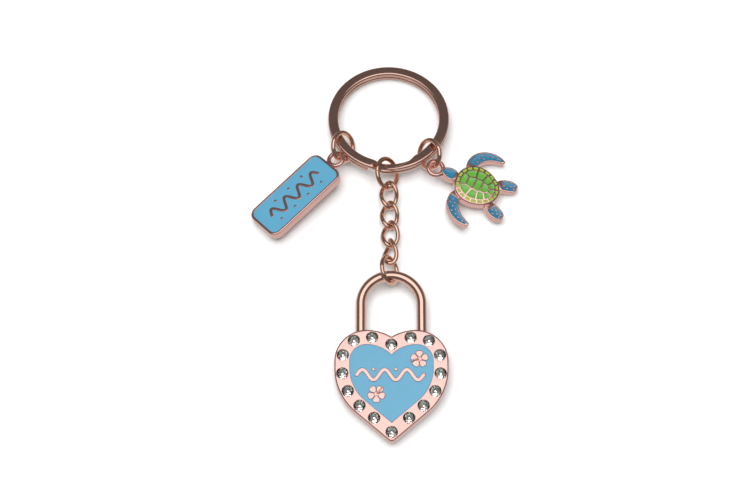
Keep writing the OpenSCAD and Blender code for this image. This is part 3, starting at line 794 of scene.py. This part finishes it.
seat_line = arc((LOBE_X, lobe - CLEFT_RADIUS), CLEFT_RADIUS - SEAT_IN, 98, 90, 4)
seat_line += arc((LOBE_X, 0), lobe - SEAT_IN, 88, 0, 24)
seat_line += arc(side_middle, SIDE_RADIUS - SEAT_IN, 0, -SIDE_END, 24)
seat_line.append(np.array([LOW_SEAT_X, tip_y(SEAT_IN) + LOW_SEAT_X / math.tan(flank)]))
seat_run = sum(np.linalg.norm(two - one) for one, two in zip(seat_line, seat_line[1:]))
seats = [along(seat_line, seat_run * k / 6 * 0.99999) for k in range(7)]
seats += [np.array([-x, y]) for x, y in seats]
seats += [np.array([0, CLEFT_SEAT_Y]), np.array([0, tip_y(SEAT_IN) + 0.1])]

heart = Casting().slab(heart_outline, 0.0, HEART_THICK, 0.42,
                       [(field_outline, FIELD_DEEP, 0.08)]
                       + [(dot(x, y, STONE_RADIUS + 0.04, 32), SEAT_DEEP, 0.09) for x, y in seats])
FLOWERS = ((6.55, 0.4, 90, 180), (-3.55, -8.0, 126, 35))
FLOWER_EYE, WAVE_X, WAVE_Y = 0.62, -0.3, -3.4
PETAL_OUT, PETAL_LONG, PETAL_WIDE, PETAL_SWELL = 1.28, 0.88, 0.82, 0.26
raised_low, raised_high = HEART_THICK - FIELD_DEEP - ROOT, HEART_THICK + 0.04
crest = [p + np.array([WAVE_X, WAVE_Y]) for p in rolling_wave(15.6, 1.25, 3, 0.95, 110)]
heart.slab(crest, raised_low, raised_high, 0.16)
for way in (-1, 1):
    heart.slab(dot(way * 2.6 - 1.6, WAVE_Y + 1.3, 0.42), raised_low, raised_high, 0.16)
for x, y, first, stalk in FLOWERS:
    heart.slab(dot(x, y, FLOWER_EYE), raised_low, raised_high - 0.12, 0.1)
petal = []
for k in range(28):
    a = 2 * math.pi * k / 28
    petal.append(np.array([PETAL_OUT + PETAL_LONG * math.cos(a),
                           (PETAL_WIDE + PETAL_SWELL * math.cos(a)) * math.sin(a)]))
petal[0] = petal[0] - [0.12, 0]
petal_cast = Casting().slab(petal, raised_low, raised_high, 0.16).done(
    "petal", np.eye(3), -TABLE_MIDDLE, cast_gold)
petal_shape = bpy.data.objects.new("petal_shape", petal_cast)

set_out, given = new_tree("pieces set out at points", [
    ("Shape", "NodeSocketObject"), ("Smooth", "NodeSocketBool"), ("Surface", "NodeSocketMaterial")])
points = plumb(set_out, "GeometryNodeMeshToPoints", Mesh=given["Geometry"])
shape = plumb(set_out, "GeometryNodeObjectInfo", Object=given["Shape"])
angle = plumb(set_out, "GeometryNodeInputNamedAttribute", {"data_type": "FLOAT"}, Name="turn")
spin = plumb(set_out, "ShaderNodeCombineXYZ", Z=angle.outputs["Attribute"])
copies = plumb(set_out, "GeometryNodeInstanceOnPoints", Points=points.outputs[0],
               Instance=shape.outputs["Geometry"], Rotation=spin.outputs[0])
end_tree(set_out, copies.outputs[0], given["Smooth"], given["Surface"])


def set_at(name, spots, turns, shape, smooth, surface):
    """Copies of a shape at spots on the padlock, in its flat frame in millimetres, each turned in place."""
    mesh = grown(name, [np.array(p) * MM for p in spots], [], set_out,
                 {"Shape": shape, "Smooth": smooth, "Surface": surface}, turns)
    place = Matrix(padlock_facing).to_4x4()
    place.translation = (padlock_middle + TABLE_MIDDLE) * MM
    mesh.transform(place)
    return mesh


petal_spots, petal_turns, stamens = [], [], []
for x, y, first, stalk in FLOWERS:
    for k in range(5):
        petal_spots.append((x, y, 0))
        petal_turns.append(math.radians(first + 72 * k))
    reach = [np.array([x, y]) + polar(0.05 + 0.55 * s, stalk + 4 * s) for s in range(5)]
    stamens.append(wire("stamen", [on_padlock(px, py, HEART_THICK - 0.02) for px, py in reach], 0.2,
                        cast_gold, sides=12))
petals = set_at("petals", petal_spots, petal_turns, petal_shape, True, cast_gold)
heart_cast = heart.done("heart_cast", padlock_facing, padlock_middle, cast_gold)
finished("heart_cast", joined("heart_cast", heart_cast, petals, *stamens), "padlock", ["heart_casting"])

# Heart enamel
# Light-blue enamel poured into the sunk field round the raised flowers and wave, baked and left
# glossy, a little below the polished border.
heart_fill = Casting().fill(inset(field_outline, POOL_GAP), HEART_THICK - FIELD_DEEP, HEART_THICK - 0.09, 0.4)
finished("heart_fill", heart_fill.done("heart_fill", padlock_facing, padlock_middle, light_blue),
         "padlock", ["heart_enamel"])

# Stones
# Sixteen round glass stones with cut facets and silver foil on their pointed backs, each glued into
# its seat. The glue beds under them carry the foil.
GIRDLE_Z = HEART_THICK - 0.12


def cut_stone():
    """Table, star and kite facets of the crown, a straight girdle and the main facets of the back. Each
    level is a share of the radius, a height, a number of corners and the angle of the first."""
    stone = bmesh.new()
    levels = ((0.58, 0.50, 8, 0), (0.84, 0.33, 8, 22.5), (1.0, 0.12, 16, 11.25), (1.0, 0.0, 16, 11.25),
              (0.55, -0.36, 8, 0), (0.12, -0.72, 8, 0))
    for share, z, count, first in levels:
        for k in range(count):
            x, y = polar(STONE_RADIUS * share, first + 360 * k / count)
            stone.verts.new((x * MM, y * MM, z * MM))
    bmesh.ops.convex_hull(stone, input=stone.verts)
    bmesh.ops.recalc_face_normals(stone, faces=stone.faces)
    mesh = bpy.data.meshes.new("cut_stone")
    stone.to_mesh(mesh)
    stone.free()
    return bpy.data.objects.new("cut_stone", mesh)


def glue_bed(surface):
    """The bed that fills the seat under a stone, foiled where the stone's back lies on it."""
    profile = ((0.14, -0.745), (0.58, -0.395), (1.02, -0.03), (1.02, -0.77))
    corners, faces = [], []
    for k in range(16):
        for ring, (share, z) in enumerate(profile):
            flat = math.cos(math.radians(22.5)) if k % 2 and ring < 2 else 1.0
            x, y = polar(STONE_RADIUS * share * flat, 22.5 * k)
            corners.append((x * MM, y * MM, z * MM))
    for k in range(16):
        m = (k + 1) % 16
        for p in range(3):
            faces.append((4 * k + p, 4 * m + p, 4 * m + p + 1, 4 * k + p + 1))
    faces.append(tuple(4 * k for k in range(16)))
    faces.append(tuple(4 * k + 3 for k in range(16)))
    return bpy.data.objects.new("glue_bed", shaped("glue_bed", corners, faces, surface, False))


crystal = Finish("cut_crystal", {"Transmission Weight": 1.0, "IOR": 1.58, "Roughness": 0.0,
                                 "Base Color": (0.93, 0.96, 0.94, 1)})
speck = crystal.grain((1, 1, 1), 3000.0)
crystal.bump(speck, 0.0000005)
foil = Finish("silver_foil", {"Metallic": 1.0})
crumple = foil.grain((1, 1, 1), 1500.0, 3.0)
foil.wear("Base Color", foil.blend(crumple, (0.60, 0.62, 0.58, 1), (0.90, 0.91, 0.88, 1)))
foil.wear("Roughness", 0.06 + 0.12 * crumple)
foil.bump(crumple, 0.0001)
stone_spots = [(x, y, GIRDLE_Z) for x, y in seats]
stone_turns = [math.radians(k * 37 % 45) for k in range(len(seats))]
finished("stones", set_at("stones", stone_spots, stone_turns, cut_stone(), False, crystal.material),
         "padlock", ["rhinestones"])
bed = glue_bed(foil.material)
finished("stone_beds", set_at("stone_beds", stone_spots, stone_turns, bed, False, foil.material),
         "padlock", ["stone_glue"])

# Studio
# A plain white table, a broad soft light overhead that the polished faces mirror, a soft key and the
# camera above the near side. The metal mirrors a dim room above and a brighter one below, not the table.
LENS, CAMERA_RISE, CAMERA_PLACE = 79.1, 68.0, (-0.002724, -0.149963, 0.370866)
ROOM_ABOVE, ROOM_BELOW, ROOM_EDGE = 0.15, 0.55, -0.15
TABLE_HALF = 3
floor_mesh = bpy.data.meshes.new("table_top")
floor_mesh.from_pydata([(x * TABLE_HALF, y * TABLE_HALF, 0) for x, y in ((-1, -1), (1, -1), (1, 1), (-1, 1))],
                       [], [(0, 1, 2, 3)])
table = Finish("white_table", {"Base Color": (0.93, 0.93, 0.93, 1), "Roughness": 0.9,
                               "Specular IOR Level": 0.1})
floor_mesh.materials.append(table.material)
floor = bpy.data.objects.new("table_top", floor_mesh)
floor.visible_glossy = False
bpy.context.scene.collection.objects.link(floor)


def light(name, kind, place, aim, energy, **settings):
    lamp = bpy.data.lights.new(name, kind)
    lamp.energy = energy
    for setting, value in settings.items():
        setattr(lamp, setting, value)
    holder = bpy.data.objects.new(name, lamp)
    bpy.context.scene.collection.objects.link(holder)
    away = np.array(place, float) - np.array(aim, float)
    across = math.atan2(away[0], -away[1])
    holder.rotation_euler = (math.atan2(math.hypot(away[0], away[1]), away[2]), 0, across)
    holder.location = place
    return holder


light("overhead_box", "AREA", (0.0, -0.02, 0.5), (0.0, -0.0199, 0.0), 1.15, shape="RECTANGLE", size=0.62,
      size_y=0.50)
key = light("soft_key", "SUN", (-0.25, 0.3, 1.4), (0, 0, 0), 2.7, angle=math.radians(70))
key.visible_glossy = False
world = bpy.data.worlds.new("studio")
world.use_nodes = True
sky = world.node_tree
backdrop = sky.nodes["Background"]
backdrop.inputs["Color"].default_value = (1.0, 0.97, 0.93, 1)
direction = sky.nodes.new("ShaderNodeTexCoord")
split = sky.nodes.new("ShaderNodeSeparateXYZ")
sky.links.new(direction.outputs["Generated"], split.inputs[0])
height = Value(sky, split.outputs["Z"])
below = height.maths("LESS_THAN", height, ROOM_EDGE)
sky.links.new((ROOM_ABOVE + ROOM_BELOW * below).socket, backdrop.inputs["Strength"])
bpy.context.scene.world = world
bpy.context.scene.view_settings.view_transform = "Standard"

camera = bpy.data.cameras.new("camera")
camera.lens = LENS
camera.sensor_width = 36
camera.clip_start = 0.01
viewer = bpy.data.objects.new("camera", camera)
viewer.location = CAMERA_PLACE
viewer.rotation_euler = (math.radians(90 - CAMERA_RISE), 0, 0)
bpy.context.scene.collection.objects.link(viewer)
bpy.context.scene.camera = viewer
